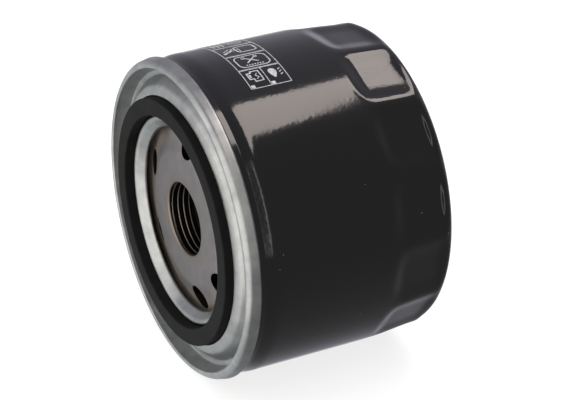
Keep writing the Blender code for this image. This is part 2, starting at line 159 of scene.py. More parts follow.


# %% [markdown]
# ## From faces to a piece
#
# Every new piece does three things besides holding its mesh. It rides on a body of the frame, so
# that it moves with it. It replaces the nodes that it stands for, which hides them. And it takes its
# finish as its material.


# %% Pieces
def add(name, data):
    """Adds a mesh or a light to the scene as an object at the origin."""
    thing = bpy.data.objects.new(name, data)
    bpy.context.scene.collection.objects.link(thing)
    return thing


def piece(name, grids, body, replaced, material):
    """Makes closed grids into one smooth object that rides on a body and stands for CAD nodes."""
    points, faces = solid(grids)
    mesh = bpy.data.meshes.new(name)
    mesh.from_pydata((points * MM).tolist(), [], faces)
    mesh.shade_smooth()
    mesh.materials.append(material)
    thing = add(name, mesh)
    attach(thing, body)
    if replaced:
        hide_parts(replaced)
    print(name, len(points), "vertices,", len(faces), "faces")
    return thing


# %% [markdown]
# ## Drawing a profile
#
# A pressed part is drawn as a press tool is: a few corners, and the radius of the bend at each. A
# bend touches both of its straight runs, so its centre lies on the line that halves the corner. The
# runs are cut short, because a long thin face would shade badly where the surface is changed later.
# A sheet's other side is the same path moved square to itself by the sheet's thickness.


# %% Profiles
def line(corners, spacing, arc_steps=8):
    """A path through (radius, depth, fillet) corners: straight runs cut to a spacing, and round fillets.

    The fillet's centre is its radius over the sine of half the corner's angle away from the corner,
    and its ends are its radius over the tangent of that half angle away.
    """
    made = []
    for i, (radius, depth, fillet) in enumerate(corners):
        here = np.array((radius, depth), float)
        if fillet == 0 or i in (0, len(corners) - 1):
            made.append(here[None])
            continue
        before = np.array(corners[i - 1][:2]) - here
        after = np.array(corners[i + 1][:2]) - here
        before /= np.linalg.norm(before)
        after /= np.linalg.norm(after)
        half = math.acos(float(np.clip(before @ after, -1, 1))) / 2
        middle = (before + after) / np.linalg.norm(before + after)
        centre = here + middle * fillet / math.sin(half)
        start = here + before * fillet / math.tan(half) - centre
        end = here + after * fillet / math.tan(half) - centre
        sweep = math.atan2(start[0] * end[1] - start[1] * end[0], float(start @ end))
        angle = np.linspace(0, sweep, arc_steps + 1)[:, None]
        made.append(centre + start * np.cos(angle) + np.array((-start[1], start[0])) * np.sin(angle))
    path = np.vstack(made)
    runs = np.maximum(np.ceil(np.linalg.norm(np.diff(path, axis=0), axis=1) / spacing).astype(int), 1)
    share = np.concatenate([i + np.arange(n) / n for i, n in enumerate(runs)] + [[len(runs)]])
    whole = np.arange(len(path))
    return np.stack((np.interp(share, whole, path[:, 0]), np.interp(share, whole, path[:, 1])), axis=1)


def wall(path, thickness):
    """The other side of a sheet: each point of the path moved square to it by the thickness."""
    along = np.gradient(path, axis=0)
    along /= np.linalg.norm(along, axis=1)[:, None]
    return path + np.stack((-along[:, 1], along[:, 0]), axis=1) * thickness


sample = line([(0, 0, 0), (5, 0, 1), (5, 5, 0)], spacing=1.0)
print("a right corner with a bend of 1 mm:", len(sample), "points")

# %% [markdown]
# ## Carrying a profile round the axis
#
# A turned piece is the profile repeated at even angles. Flats and a thread aren't round, but they
# only change the radius, so they are functions that are given to the same turning.


# %% Turning
def turned(profile, steps, change=None):
    """Points of a profile carried round the axis: x = radius cos a, y = depth, z = radius sin a.

    A change takes radius, depth and angle arrays and gives the new radius.
    """
    angle = np.arange(steps) * 2 * math.pi / steps
    radius = np.repeat(profile[:, :1], steps, axis=1)
    depth = np.repeat(profile[:, 1:], steps, axis=1)
    angle = np.repeat(angle[None], len(profile), axis=0)
    if change:
        radius = change(radius, depth, angle)
    return np.stack((radius * np.cos(angle), depth, radius * np.sin(angle)), axis=-1)


def smooth(low, high, value):
    """A soft step: 0 below low, 1 above high, and a cubic between them."""
    share = np.clip((value - low) / (high - low), 0, 1)
    return share * share * (3 - 2 * share)


print("the corner turned in 12 steps:", turned(sample, 12).shape)

# %% [markdown]
# ## Finishes as node trees
#
# A finish is a Principled shader fed by patterns. Colours are written as the hex values that a
# colour picker shows, and one function makes them linear, which is what a shader needs. A pattern's
# scale is one over the size of its grain in metres.


# %% Helpers for finishes
def linear(code):
    """The linear red, green, blue and alpha of an sRGB hex colour such as "c0ffee"."""
    values = np.array([int(code[i:i + 2], 16) for i in (0, 2, 4)]) / 255
    values = np.where(values <= 0.04045, values / 12.92, ((values + 0.055) / 1.055) ** 2.4)
    return (*values.tolist(), 1.0)


def node(tree, kind, inputs=None, **settings):
    """Adds one node, with its own settings, and inputs that are values or other nodes' outputs."""
    made = tree.nodes.new("ShaderNode" + kind)
    for name, value in settings.items():
        setattr(made, name, value)
    for key, value in (inputs or {}).items():
        if isinstance(value, bpy.types.NodeSocket):
            tree.links.new(value, made.inputs[key])
        else:
            made.inputs[key].default_value = value
    return made


def new_finish(name, **values):
    """An empty finish: its material, its tree, its shader and the place of each point on the piece."""
    material = bpy.data.materials.new(name)
    material.use_nodes = True
    tree = material.node_tree
    shader = tree.nodes["Principled BSDF"]
    for key, value in values.items():
        shader.inputs[key.replace("_", " ")].default_value = value
    place = node(tree, "TexCoord").outputs["Object"]
    return material, tree, shader, place


def grain(size):
    """The texture scale whose features are about this many millimetres across."""
    return 1 / (size * MM)


print("mid grey 808080 is", round(linear("808080")[0], 3), "in linear light")

# %% [markdown]
# ## Black enamel
#
# The can is drawn from sheet steel and coated with black enamel that is baked on. Baked enamel is
# glossy but not flat: it dries to a skin like orange peel, with waves about a millimetre across and
# a few thousandths high. They hardly darken the surface, but they make the edge of a reflection
# ragged. Handling leaves faint dull patches and some specks of dust.

# %% Enamel finish
enamel, tree, shader, place = new_finish("black_enamel", IOR=1.5)
clouds = node(tree, "TexNoise", {"Vector": place, "Scale": grain(14), "Detail": 3.0})
polish = node(tree, "MapRange", {"Value": clouds.outputs["Fac"], "To Min": 0.06, "To Max": 0.14})
tree.links.new(polish.outputs["Result"], shader.inputs["Roughness"])
dust = node(tree, "TexVoronoi", {"Vector": place, "Scale": grain(5.5)})
speck = node(tree, "MapRange", {
    "Value": dust.outputs["Distance"], "From Min": 0.03, "From Max": 0.018, "To Min": 0.0, "To Max": 0.4,
})
tint = node(tree, "Mix", {
    "Factor": speck.outputs["Result"], "A": linear("0d0d0e"), "B": linear("9a9894"),
}, data_type="RGBA")
tree.links.new(tint.outputs["Result"], shader.inputs["Base Color"])
peel = node(tree, "TexNoise", {"Vector": place, "Scale": grain(1.1), "Detail": 1.0, "Roughness": 0.4})
waves = node(tree, "Bump", {"Height": peel.outputs["Fac"], "Strength": 1.0, "Distance": 0.012 * MM})
tree.links.new(waves.outputs["Normal"], shader.inputs["Normal"])
print("enamel: peel waves 1.1 mm across")

# %% [markdown]
# ## The wrench flats
#
# Near the can's closed end fourteen flats are pressed in, so that a cap wrench can turn it. They
# could be cut with a Boolean, but that leaves creases. A pressed flat is a little hollow, because
# the steel springs back least in its middle, and where two meet, the steel bends round a soft ridge.
# The flats fade in over a few millimetres and are gone before the rounded end.

# %% Wrench flats
CAN_RADIUS = 40.1
DIMPLE_RADIUS = 24.0
DOME_CORNER = 3.4
FLAT_COUNT = 14
RIDGE_ANGLE = math.radians(80.1)
FLAT_START, FLAT_RISE, FLAT_ROUND = 40.3, 4.2, 1.0
FLAT_FADE, FLAT_END = 54.0, 57.0
TAPER_START, TAPER_FULL = 42.0, 55.5
END_TAPER = 0.85
HOLLOW = 0.3
HOLLOW_FLOOR = math.radians(5.2)
RIDGE_SOFTNESS = 0.2


def tapered(depth):
    """The wall's radius: it narrows by the taper from where the flats start to near the end."""
    return CAN_RADIUS - END_TAPER * smooth(TAPER_START, TAPER_FULL, depth)


def pressed(radius, depth, angle):
    """Radius after the wrench flats are pressed in.

    Off a ridge a flat's radius is its distance over the cosine of the angle from its middle, less a
    hollow that has a wide floor and steeper sides. A ridge is the soft minimum of the two flats beside it,
    minus softness times the logarithm of the sum of exp(-radius / softness). A flat fades in along
    the wall, later towards its ridges, which rounds its corners, and it fades out before the end.
    The taper fades out across the end.
    """
    pitch = 2 * math.pi / FLAT_COUNT
    off = np.abs((angle - RIDGE_ANGLE) % pitch - pitch / 2)
    top = tapered(depth) + RIDGE_SOFTNESS * math.log(2)
    flat = top * math.cos(pitch / 2)

    def floor_radius(away):
        return flat / np.cos(away) - HOLLOW * (1 - smooth(HOLLOW_FLOOR, pitch / 2, away))

    near, far = floor_radius(off), floor_radius(pitch - off)
    shape = -RIDGE_SOFTNESS * np.logaddexp(-near / RIDGE_SOFTNESS, -far / RIDGE_SOFTNESS)
    start = FLAT_START + FLAT_ROUND * (off / (pitch / 2)) ** 2
    press = smooth(start, start + FLAT_RISE, depth) * (1 - smooth(FLAT_FADE, FLAT_END, depth))
    sunk = CAN_RADIUS - tapered(depth) + (tapered(depth) - shape) * press
    across = np.clip((radius - DIMPLE_RADIUS) / (CAN_RADIUS - DOME_CORNER - DIMPLE_RADIUS), 0, 1)
    return radius - sunk * across


across_flats = 2 * tapered(FLAT_FADE) * math.cos(math.pi / FLAT_COUNT)
print("flats:", FLAT_COUNT, "and", round(float(across_flats), 1), "mm across")

# %% [markdown]
# ## The can
#
# The can is one deep-drawn cup. Behind the seam its neck is a little narrower, where the seaming
# roller ran, and it widens to the wall in one long curve. The closed end has a round corner and a
# shallow dimple that stiffens it. The cup is a closed solid: down the outside and back up the inside.

# %% Can
CAN_WALL = 0.6
CAN_NECK = 39.3
CAN_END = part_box("can")[1].y / MM
CAN_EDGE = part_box("can")[0].y / MM
DIMPLE_DEPTH = 0.8
can_outside = line([
    (CAN_NECK, CAN_EDGE, 0),
    (CAN_NECK, 6.8, 0.9),
    (CAN_RADIUS, 9.5, 9.0),
    (CAN_RADIUS, 36.0, 0),
    (CAN_RADIUS, CAN_END, DOME_CORNER),
    (DIMPLE_RADIUS + 1.2, CAN_END, 1.5),
    (DIMPLE_RADIUS - 1.2, CAN_END - DIMPLE_DEPTH, 1.5),
    (0.0, CAN_END - DIMPLE_DEPTH, 0),
], spacing=0.9, arc_steps=14)
can_inside = wall(can_outside, CAN_WALL)
can_inside[:, 0] = np.maximum(can_inside[:, 0], 0)
can_inside[-1, 0] = 0
can_outline = np.vstack((can_outside[::-1], can_inside))
piece(
    "can_shell", [(turned(can_outline, FLAT_COUNT * 20, pressed), False)],
    "housing", "can", enamel,
)

# %% [markdown]
# ## Zinc plate
#
# The cover is electroplated with zinc and passivated, which leaves a bluish white metal with a soft
# shine. It is never even: the bath leaves clouds a few millimetres wide, oil and fingers dull it in
# places, and the seaming roller leaves fine streaks that run round the rim.

# %% Zinc finish
zinc, tree, shader, place = new_finish("passivated_zinc", Metallic=1.0)
bath = node(tree, "TexNoise", {"Vector": place, "Scale": grain(5), "Detail": 5.0, "Roughness": 0.6})
tint = node(tree, "ValToRGB", {"Fac": bath.outputs["Fac"]})
tint.color_ramp.elements[0].position = 0.3
tint.color_ramp.elements[0].color = linear("949696")
tint.color_ramp.elements[1].position = 0.7
tint.color_ramp.elements[1].color = linear("b2b3b1")
tree.links.new(tint.outputs["Color"], shader.inputs["Base Color"])
smudge = node(tree, "TexNoise", {"Vector": place, "Scale": grain(9), "Detail": 2.0, "Distortion": 0.8})
dull = node(tree, "MapRange", {
    "Value": smudge.outputs["Fac"], "From Min": 0.3, "From Max": 0.7, "To Min": 0.34, "To Max": 0.48,
})
tree.links.new(dull.outputs["Result"], shader.inputs["Roughness"])
crystals = node(tree, "TexNoise", {"Vector": place, "Scale": grain(0.5), "Detail": 2.0})
streaks = node(tree, "TexWave", {
    "Vector": place, "Scale": grain(1.0) / 20, "Distortion": 1.5, "Detail": 2.0, "Detail Scale": 2.0,
}, wave_type="RINGS", rings_direction="Y")
relief = node(tree, "Math", {0: crystals.outputs["Fac"], 1: streaks.outputs["Fac"]}, operation="ADD")
rough = node(tree, "Bump", {"Height": relief.outputs["Value"], "Strength": 1.0, "Distance": 0.004 * MM})
tree.links.new(rough.outputs["Normal"], shader.inputs["Normal"])
print("zinc: clouds 5 mm, crystals 0.5 mm")

# %% [markdown]
# ## The seaming cover
#
# The cover is one pressed sheet, 0.45 mm thick. From the outside in it has the rim that is rolled
# over the can's edge, a countersink, a raised panel, the groove that holds the gasket and a bead
# round the open centre. The sheet's path is drawn once, and its back is that path moved by the
# thickness.

# %% Cover
COVER_SHEET = 0.45
ROUND_STEPS = 288
RIM = [(39.75, 5.25, 0), (40.45, 4.7, 0.35), (39.95, 2.4, 1.6), (38.9, 1.55, 1.0), (38.1, 1.7, 0.4)]
COUNTERSINK = [(37.2, 5.4, 0.6), (35.9, 5.6, 0.6)]
RAISED_PANEL = [(33.6, 2.9, 2.4), (31.2, 2.0, 0.25)]
GASKET_GROOVE = [(31.2, 5.6, 0.4), (26.4, 5.6, 0.5)]
BEAD = [(26.4, 2.0, 0.6), (25.1, 2.5, 2.2), (23.2, 4.4, 0)]
cover_front = line(RIM + COUNTERSINK + RAISED_PANEL + GASKET_GROOVE + BEAD, spacing=0.6)
cover_outline = np.vstack((cover_front, wall(cover_front, -COVER_SHEET)[::-1]))
piece(
    "cover_pressing", [(turned(cover_outline, ROUND_STEPS), True)],
    "housing", "seaming_cover", zinc,
)

# %% [markdown]
# ## Nitrile rubber
#
# The gasket is cut from a moulded tube of nitrile rubber. It is dark grey and matt, with a fine
# tooth from the mould and a thin bloom that shows as paler patches.

# %% Rubber finish
nitrile, tree, shader, place = new_finish("nitrile_rubber", IOR=1.25, Roughness=0.75)
bloom = node(tree, "TexNoise", {"Vector": place, "Scale": grain(7), "Detail": 4.0, "Roughness": 0.6})
tint = node(tree, "ValToRGB", {"Fac": bloom.outputs["Fac"]})
tint.color_ramp.elements[0].position = 0.35
tint.color_ramp.elements[0].color = linear("0c0c0c")
tint.color_ramp.elements[1].position = 0.75
tint.color_ramp.elements[1].color = linear("151515")
tree.links.new(tint.outputs["Color"], shader.inputs["Base Color"])
tooth = node(tree, "TexNoise", {"Vector": place, "Scale": grain(0.25), "Detail": 3.0})
rough = node(tree, "Bump", {"Height": tooth.outputs["Fac"], "Strength": 1.0, "Distance": 0.02 * MM})
tree.links.new(rough.outputs["Normal"], shader.inputs["Normal"])
print("rubber: tooth 0.25 mm")

# %% [markdown]
# ## The gasket
#
# The ring is square-cut: its corners are only broken, so a fine pale line shows along the outer one.

# %% Gasket
GASKET_INNER, GASKET_OUTER, GASKET_DEPTH = 26.7, 31.05, 5.3
gasket_outline = line([
    (GASKET_INNER + 2, GASKET_DEPTH, 0),
    (GASKET_INNER, GASKET_DEPTH, 0.2),
    (GASKET_INNER, 0, 0.3),
    (GASKET_OUTER, 0, 0.3),
    (GASKET_OUTER, GASKET_DEPTH, 0.2),
    (GASKET_INNER + 2.3, GASKET_DEPTH, 0),
], spacing=0.6, arc_steps=5)
piece(
    "gasket_ring", [(turned(gasket_outline, ROUND_STEPS), True)],
    "housing", "gasket", nitrile,
)

# %% [markdown]
# ## Oiled steel
#
# The base plate is pressed from thick hot-rolled strip and dipped in oil, which gives a dull grey
# metal in two close greys. Oil that collects where the plate slopes away has dried to a brown film.
# A film isn't metal, so the metallic value falls where it lies.

# %% Plate finish
FILM_START, FILM_FULL = 18.5, 21.5
steel, tree, shader, place = new_finish("oiled_steel")
flat_place = node(tree, "VectorMath", {0: place, 1: (1.0, 0.0, 1.0)}, operation="MULTIPLY")
reach = node(tree, "VectorMath", {0: flat_place.outputs["Vector"]}, operation="LENGTH").outputs["Value"]
mottle = node(tree, "TexNoise", {"Vector": place, "Scale": grain(4), "Detail": 6.0, "Roughness": 0.65})
bare = node(tree, "ValToRGB", {"Fac": mottle.outputs["Fac"]})
bare.color_ramp.elements[0].position = 0.3
bare.color_ramp.elements[0].color = linear("736e6c")
bare.color_ramp.elements[1].position = 0.75
bare.color_ramp.elements[1].color = linear("898483")
film_edge = node(tree, "MapRange", {
    "Value": reach, "From Min": FILM_START * MM, "From Max": FILM_FULL * MM,
}, interpolation_type="SMOOTHSTEP")
film_patch = node(tree, "TexNoise", {"Vector": place, "Scale": grain(8), "Detail": 3.0})
film_patchy = node(tree, "MapRange", {
    "Value": film_patch.outputs["Fac"], "From Min": 0.3, "From Max": 0.7, "To Min": 0.4, "To Max": 0.95,
})
film = node(tree, "Math", {
    0: film_edge.outputs["Result"], 1: film_patchy.outputs["Result"],
}, operation="MULTIPLY")
oiled = node(tree, "Mix", {
    "Factor": film.outputs["Value"], "A": bare.outputs["Color"], "B": linear("807469"),
}, data_type="RGBA")
bareness = node(tree, "MapRange", {"Value": film.outputs["Value"], "To Min": 1.0, "To Max": 0.25})
tree.links.new(bareness.outputs["Result"], shader.inputs["Metallic"])
print("steel: oil film from", FILM_START, "mm out, fully there at", FILM_FULL)

# %% [markdown]
# ## Oil round the bore, and painted shade in the holes
#
# Round the mouth of the bore, oil from the tapping has dried to a golden brown. The walls of the
# inlet holes are painted near-black as painted shade of the holes' insides: a wall is where the
# surface is edge-on to the axis, which its normal tells.

# %% Mouth and hole walls
# A near-black that stands for shade: painted shade in the holes' walls, in the thread's grooves and deep in
# the bore.
PAINTED_SHADE_BLACK = linear("1c1a19")
MOUTH_REACH = 11.6
mouth = node(tree, "MapRange", {
    "Value": reach, "From Min": MOUTH_REACH * MM, "From Max": (MOUTH_REACH - 2) * MM, "To Max": 0.8,
})
browned = node(tree, "Math", {0: mouth.outputs["Result"], 1: mottle.outputs["Fac"]}, operation="MULTIPLY")
plate_stain_and_shade = node(tree, "Mix", {
    "Factor": browned.outputs["Value"], "A": oiled.outputs["Result"], "B": linear("77664f"),
}, data_type="RGBA")
facing = node(tree, "VectorMath", {
    0: node(tree, "TexCoord").outputs["Normal"], 1: (0.0, 1.0, 0.0),
}, operation="DOT_PRODUCT").outputs["Value"]
edge_on = node(tree, "Math", {0: facing}, operation="ABSOLUTE").outputs["Value"]
# Painted shade: walls edge-on to the axis, which are the inlet holes' walls, are painted near-black.
hole_wall_shade = node(tree, "MapRange", {"Value": edge_on, "From Min": 0.5, "From Max": 0.25})
plate_stain_and_shade = node(tree, "Mix", {
    "Factor": hole_wall_shade.outputs["Result"], "A": plate_stain_and_shade.outputs["Result"], "B": PAINTED_SHADE_BLACK,
}, data_type="RGBA")
print("steel: browned within", MOUTH_REACH, "mm of the axis")

# %% [markdown]
# ## Pale crests, and painted shade in the grooves
#
# In the bore the thread's crests are painted pale, as bright cut metal and as a painted highlight,
# and its grooves are painted near-black as painted shade. Deeper in, where no light reaches, both
# are painted near-black as painted shade. Crest and groove are told apart by the distance from the
# axis, and the thread is told from the plate's face by the depth.

# %% Thread tints
BORE_RADIUS = 9.19
THREAD_ROOT = 10.0
THREAD_EDGE = 4.5
# Painted highlight and shade: the crests are painted pale and the grooves near-black.
groove = node(tree, "MapRange", {
    "Value": reach, "From Min": (BORE_RADIUS + 0.01) * MM, "From Max": (BORE_RADIUS + 0.07) * MM,
})
thread_light_and_shade = node(tree, "Mix", {
    "Factor": groove.outputs["Result"], "A": linear("b4aaa0"), "B": PAINTED_SHADE_BLACK,
}, data_type="RGBA")
depth = node(tree, "SeparateXYZ", {0: place}).outputs["Y"]
# Painted shade: from 8 mm deep the whole thread fades to near-black.
deep = node(tree, "MapRange", {"Value": depth, "From Min": 8.0 * MM, "From Max": 10.5 * MM})
thread_light_and_shade = node(tree, "Mix", {
    "Factor": deep.outputs["Result"], "A": thread_light_and_shade.outputs["Result"], "B": PAINTED_SHADE_BLACK,
}, data_type="RGBA")
within = node(tree, "MapRange", {
    "Value": reach, "From Min": (THREAD_ROOT + 0.1) * MM, "From Max": (THREAD_ROOT + 0.05) * MM,
})
past_edge = node(tree, "MapRange", {
    "Value": depth, "From Min": THREAD_EDGE * MM, "From Max": (THREAD_EDGE + 0.1) * MM,
})
in_bore = node(tree, "Math", {
    0: within.outputs["Result"], 1: past_edge.outputs["Result"],
}, operation="MULTIPLY")
bored = node(tree, "Mix", {
    "Factor": in_bore.outputs["Value"], "A": plate_stain_and_shade.outputs["Result"], "B": thread_light_and_shade.outputs["Result"],
}, data_type="RGBA")
tree.links.new(bored.outputs["Result"], shader.inputs["Base Color"])
print("thread tint: starts", THREAD_EDGE, "mm deep")

# %% [markdown]
# ## Press rings
#
# The press tool leaves faint rings on the plate, and the strip's scale leaves fine pits. Both are
# a few thousandths of a millimetre deep, so they are bump and not geometry.

# %% Plate relief
sheen = node(tree, "MapRange", {"Value": mottle.outputs["Fac"], "To Min": 0.3, "To Max": 0.5})
tree.links.new(sheen.outputs["Result"], shader.inputs["Roughness"])
rings = node(tree, "TexWave", {
    "Vector": place, "Scale": grain(1.4) / 20, "Distortion": 2.0, "Detail": 1.0, "Detail Scale": 0.6,
}, wave_type="RINGS", rings_direction="Y")
ripple = node(tree, "Bump", {"Height": rings.outputs["Fac"], "Strength": 1.0, "Distance": 0.012 * MM})
pits = node(tree, "TexNoise", {"Vector": place, "Scale": grain(0.4), "Detail": 3.0})
rough = node(tree, "Bump", {
    "Height": pits.outputs["Fac"], "Distance": 0.01 * MM, "Normal": ripple.outputs["Normal"],
})
tree.links.new(rough.outputs["Normal"], shader.inputs["Normal"])
print("steel: rings 1.4 mm apart, pits 0.4 mm across")

# %% [markdown]
# ## The thread
#
# The base plate's thread holds the filter on the engine's stud. It is M20 with a pitch of 1.5 mm. It
# could be a profile swept along a helix and joined on, but it is simpler as part of the turned
# surface: the bore's radius grows by the groove's depth where the depth along the axis and the turn
# round it put a point in the groove, which makes a helix. The turn is added, because the groove of
# a right-hand thread goes deeper as it runs from +X towards -Z.

# %% Thread
THREAD_PITCH = 1.5
NECK_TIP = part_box("base_plate")[1].y / MM


def threaded(radius, depth, angle):
    """Bore radius with its groove: narrow at the crest, sloping, and flat at the root.

    The turn is the part after the point of depth over pitch plus angle over a full circle. The groove
    is deepest where the turn is a half, and it fades in at the mouth and out at the neck's tip.
    """
    turn = (depth / THREAD_PITCH + angle / (2 * math.pi)) % 1.0
    from_root = np.abs(turn - 0.5) * THREAD_PITCH
    height = (THREAD_ROOT - BORE_RADIUS) * (1 - smooth(THREAD_PITCH / 8, THREAD_PITCH * 7 / 16, from_root))
    cut = smooth(4.6, 5.3, depth) * (1 - smooth(NECK_TIP - 1.2, NECK_TIP - 0.3, depth))
    return np.where(radius < BORE_RADIUS + 0.01, np.maximum(radius, BORE_RADIUS) + height * cut, radius)


print("thread: turns", round((NECK_TIP - THREAD_EDGE) / THREAD_PITCH, 1))

# %% [markdown]
# ## The base plate
#
# The plate is 3 mm thick. Its middle is raised towards the engine and drawn inwards into the
# threaded neck, and it slopes down to a level rim under the cover. The bore's rows are close
# together, a sixteenth of the pitch apart, so that the thread has points to follow.

# %% Base plate
BORE_STEPS = 192
PLATE_FRONT, PLATE_LEVEL, PLATE_THICKNESS = 4.0, 6.35, 3.0
PLATE_RADIUS, NECK_RADIUS = 36.5, 12.6
bore = line([(BORE_RADIUS, NECK_TIP, 0), (BORE_RADIUS, PLATE_FRONT + 0.7, 0)], spacing=THREAD_PITCH / 16)
plate_rest = line([
    (BORE_RADIUS, PLATE_FRONT + 0.8, 0),
    (BORE_RADIUS, PLATE_FRONT, 0.6),
    (17.0, PLATE_FRONT, 4.0),
    (24.0, PLATE_LEVEL, 4.0),
    (PLATE_RADIUS, PLATE_LEVEL, 0.4),
    (PLATE_RADIUS, PLATE_LEVEL + PLATE_THICKNESS, 0.4),
    (23.0, PLATE_LEVEL + PLATE_THICKNESS, 2.0),
    (16.0, PLATE_FRONT + PLATE_THICKNESS, 2.0),
    (NECK_RADIUS, PLATE_FRONT + PLATE_THICKNESS, 0.8),
    (NECK_RADIUS, NECK_TIP, 0.4),
    (BORE_RADIUS + 0.4, NECK_TIP, 0),
], spacing=1.2, arc_steps=6)
plate_outline = np.vstack((bore[:-1], plate_rest))
base = piece(
    "threaded_plate", [(turned(plate_outline, BORE_STEPS, threaded), True)],
    "housing", "base_plate", steel,
)

# %% [markdown]
# ## The inlet holes
#
# Oil enters through a ring of six holes. They are punched, so they are cut with a Boolean, by six
# turned cylinders in one mesh. The result is applied, because the piece is final after it, and edges
# sharper than 50 degrees are marked so that the holes' rims stay crisp.

# %% Inlet holes
INLET_CIRCLE, INLET_RADIUS = 20.2, 3.2
INLET_ANGLES = (26, 87, 161, 214, 288, 331)
DRILL_TIP, DRILL_END = 1.0, 13.0
drill_line = np.array([
    (0, DRILL_TIP), (INLET_RADIUS, DRILL_TIP), (INLET_RADIUS, DRILL_END), (0, DRILL_END),
])
drills = []
for degrees in INLET_ANGLES:
    middle = np.array((math.cos(math.radians(degrees)), 0, math.sin(math.radians(degrees))))
    drills.append((turned(drill_line, 40) + middle * INLET_CIRCLE, False))
drill_points, drill_faces = solid(drills)
drill_mesh = bpy.data.meshes.new("inlet_drills")
drill_mesh.from_pydata((drill_points * MM).tolist(), [], drill_faces)
drill = add("inlet_drills", drill_mesh)
holes = base.modifiers.new("inlets", "BOOLEAN")
holes.operation = "DIFFERENCE"
holes.object = drill
bpy.context.view_layer.update()
drilled = bpy.data.meshes.new_from_object(base.evaluated_get(bpy.context.evaluated_depsgraph_get()))
base.modifiers.remove(holes)
base.data = drilled
base.data.shade_smooth()
base.data.set_sharp_from_angle(angle=math.radians(50))
bpy.data.objects.remove(drill)
print("base plate faces after drilling:", len(base.data.polygons))

# %% [markdown]
# ## White ink
#
# Fitting pictograms are screen-printed on the can in white ink. It is satin and thin, so the black
# under it makes it a pale grey, and it is thinner in places a little over half a millimetre across.

# %% Ink finish
ink, tree, shader, place = new_finish("screen_ink", IOR=1.5, Roughness=0.45)
wear = node(tree, "TexNoise", {"Vector": place, "Scale": grain(0.6), "Detail": 4.0})
tint = node(tree, "ValToRGB", {"Fac": wear.outputs["Fac"]})
tint.color_ramp.elements[0].position = 0.3
tint.color_ramp.elements[0].color = linear("8d8f94")
tint.color_ramp.elements[1].position = 0.6
tint.color_ramp.elements[1].color = linear("b4b5b9")
tree.links.new(tint.outputs["Color"], shader.inputs["Base Color"])
print("ink: thin spots 0.6 mm across")

# %% [markdown]
# ## Drawing on the can
#
# A drawing that is flat on paper is bent round the can here. A point of it is an axial distance and
# a distance round the can, and the second over the can's radius gives its angle.

# %% Place on the can
PRINT_START = 16.4
PRINT_ANGLE = 71.0


def on_can(along, around, height):
    """Points on the can: along is a distance from the panel's edge, and around a distance up it."""
    angle = math.radians(PRINT_ANGLE) + around / CAN_RADIUS
    radius = CAN_RADIUS + height
    return np.stack((radius * np.cos(angle), PRINT_START + along, radius * np.sin(angle)), axis=-1)


print("panel starts", PRINT_START, "mm deep,", PRINT_ANGLE, "degrees round")

# %% [markdown]
# ## Lines of ink
#
# Ink has a thickness, about 0.03 mm, so each line is a thin closed ribbon and not a picture on the
# surface. It is cut into short steps, so that it bends with the can. Where it turns a corner its
# sides are mitred.

# %% Ribbon
INK_THICKNESS = 0.03
INK_LINE = 0.2
INK_STEP = 0.8


def ribbon(path, width=INK_LINE, closed=False):
    """A flat band along a path of (along, around) points: four corners carried along, with mitres.

    The side is square to the sum of the directions before and after a point, and is twice that sum
    over its length squared, which keeps the band's width through a bend.
    """
    path = np.array(path, float)
    ends = np.vstack((path, path[:1])) if closed else path
    runs = np.maximum(np.ceil(np.linalg.norm(np.diff(ends, axis=0), axis=1) / INK_STEP).astype(int), 1)
    share = np.concatenate([i + np.arange(n) / n for i, n in enumerate(runs)])
    if not closed:
        share = np.append(share, len(runs))
    whole = np.arange(len(ends))
    fine = np.stack((np.interp(share, whole, ends[:, 0]), np.interp(share, whole, ends[:, 1])), axis=1)
    if closed:
        ahead = np.roll(fine, -1, axis=0) - fine
        behind = fine - np.roll(fine, 1, axis=0)
    else:
        ahead = np.diff(fine, axis=0)
        behind = np.vstack((ahead[:1], ahead))
        ahead = np.vstack((ahead, ahead[-1:]))
    ahead /= np.linalg.norm(ahead, axis=1)[:, None]
    behind /= np.linalg.norm(behind, axis=1)[:, None]
    side = np.stack((-(ahead + behind)[:, 1], (ahead + behind)[:, 0]), axis=1)
    side *= (2 / np.maximum((side * side).sum(axis=1), 1.0))[:, None]
    left = fine + side * width / 2
    right = fine - side * width / 2
    corners = [(left, 0), (right, 0), (right, 1), (left, 1)]
    grid = np.stack([on_can(p[:, 0], p[:, 1], INK_THICKNESS * up) for p, up in corners], axis=1)
    if not closed:
        ends = grid[[0, -1]].mean(axis=1, keepdims=True).repeat(4, axis=1)
        grid = np.concatenate((ends[:1], grid, ends[1:]))
    return grid, closed


print("ink lines:", INK_LINE, "mm wide and", INK_THICKNESS, "mm thick")

# %% [markdown]
# ## Filled shapes of ink
#
# A filled shape is a set of rings that shrink to its centre, once on the can and once on top of the
# ink. The rings in between keep it round the can, where one flat face would cut into the steel.


# %% Patch
def patch(outline, centre):
    """A filled shape: rings that shrink from the outline to its centre, on the top and the bottom."""
    outline = np.array(outline, float)
    rings = np.linspace(0, 1, 5)
    layers = [(share, 0) for share in rings] + [(share, 1) for share in rings[::-1]]
    rows = [on_can(*(centre + (outline - centre) * share).T, INK_THICKNESS * up) for share, up in layers]
    return np.array(rows), False


# %% [markdown]
# ## Outlines for the drawings
#
# Arcs and boxes are enough for all of the pictograms. A box's round corners are four quarter arcs.


# %% Arcs and boxes
def arc(centre, radius, start, end, count=17):
    """Points of an arc between two angles in degrees: centre + radius * (cos a, sin a)."""
    angle = np.radians(np.linspace(start, end, count))
    return np.stack((centre[0] + radius * np.cos(angle), centre[1] + radius * np.sin(angle)), axis=1)


def box(left, low, right, high, corner=0.0):
    """The outline of a box whose corners may be round."""
    if corner == 0:
        return np.array(((left, low), (right, low), (right, high), (left, high)))
    places = ((right, high, 0), (left, high, 90), (left, low, 180), (right, low, 270))
    turns = []
    for x, y, turn in places:
        inset = (x - corner if x == right else x + corner, y - corner if y == high else y + corner)
        turns.append(arc(inset, corner, turn, turn + 90, 5))
    return np.vstack(turns)


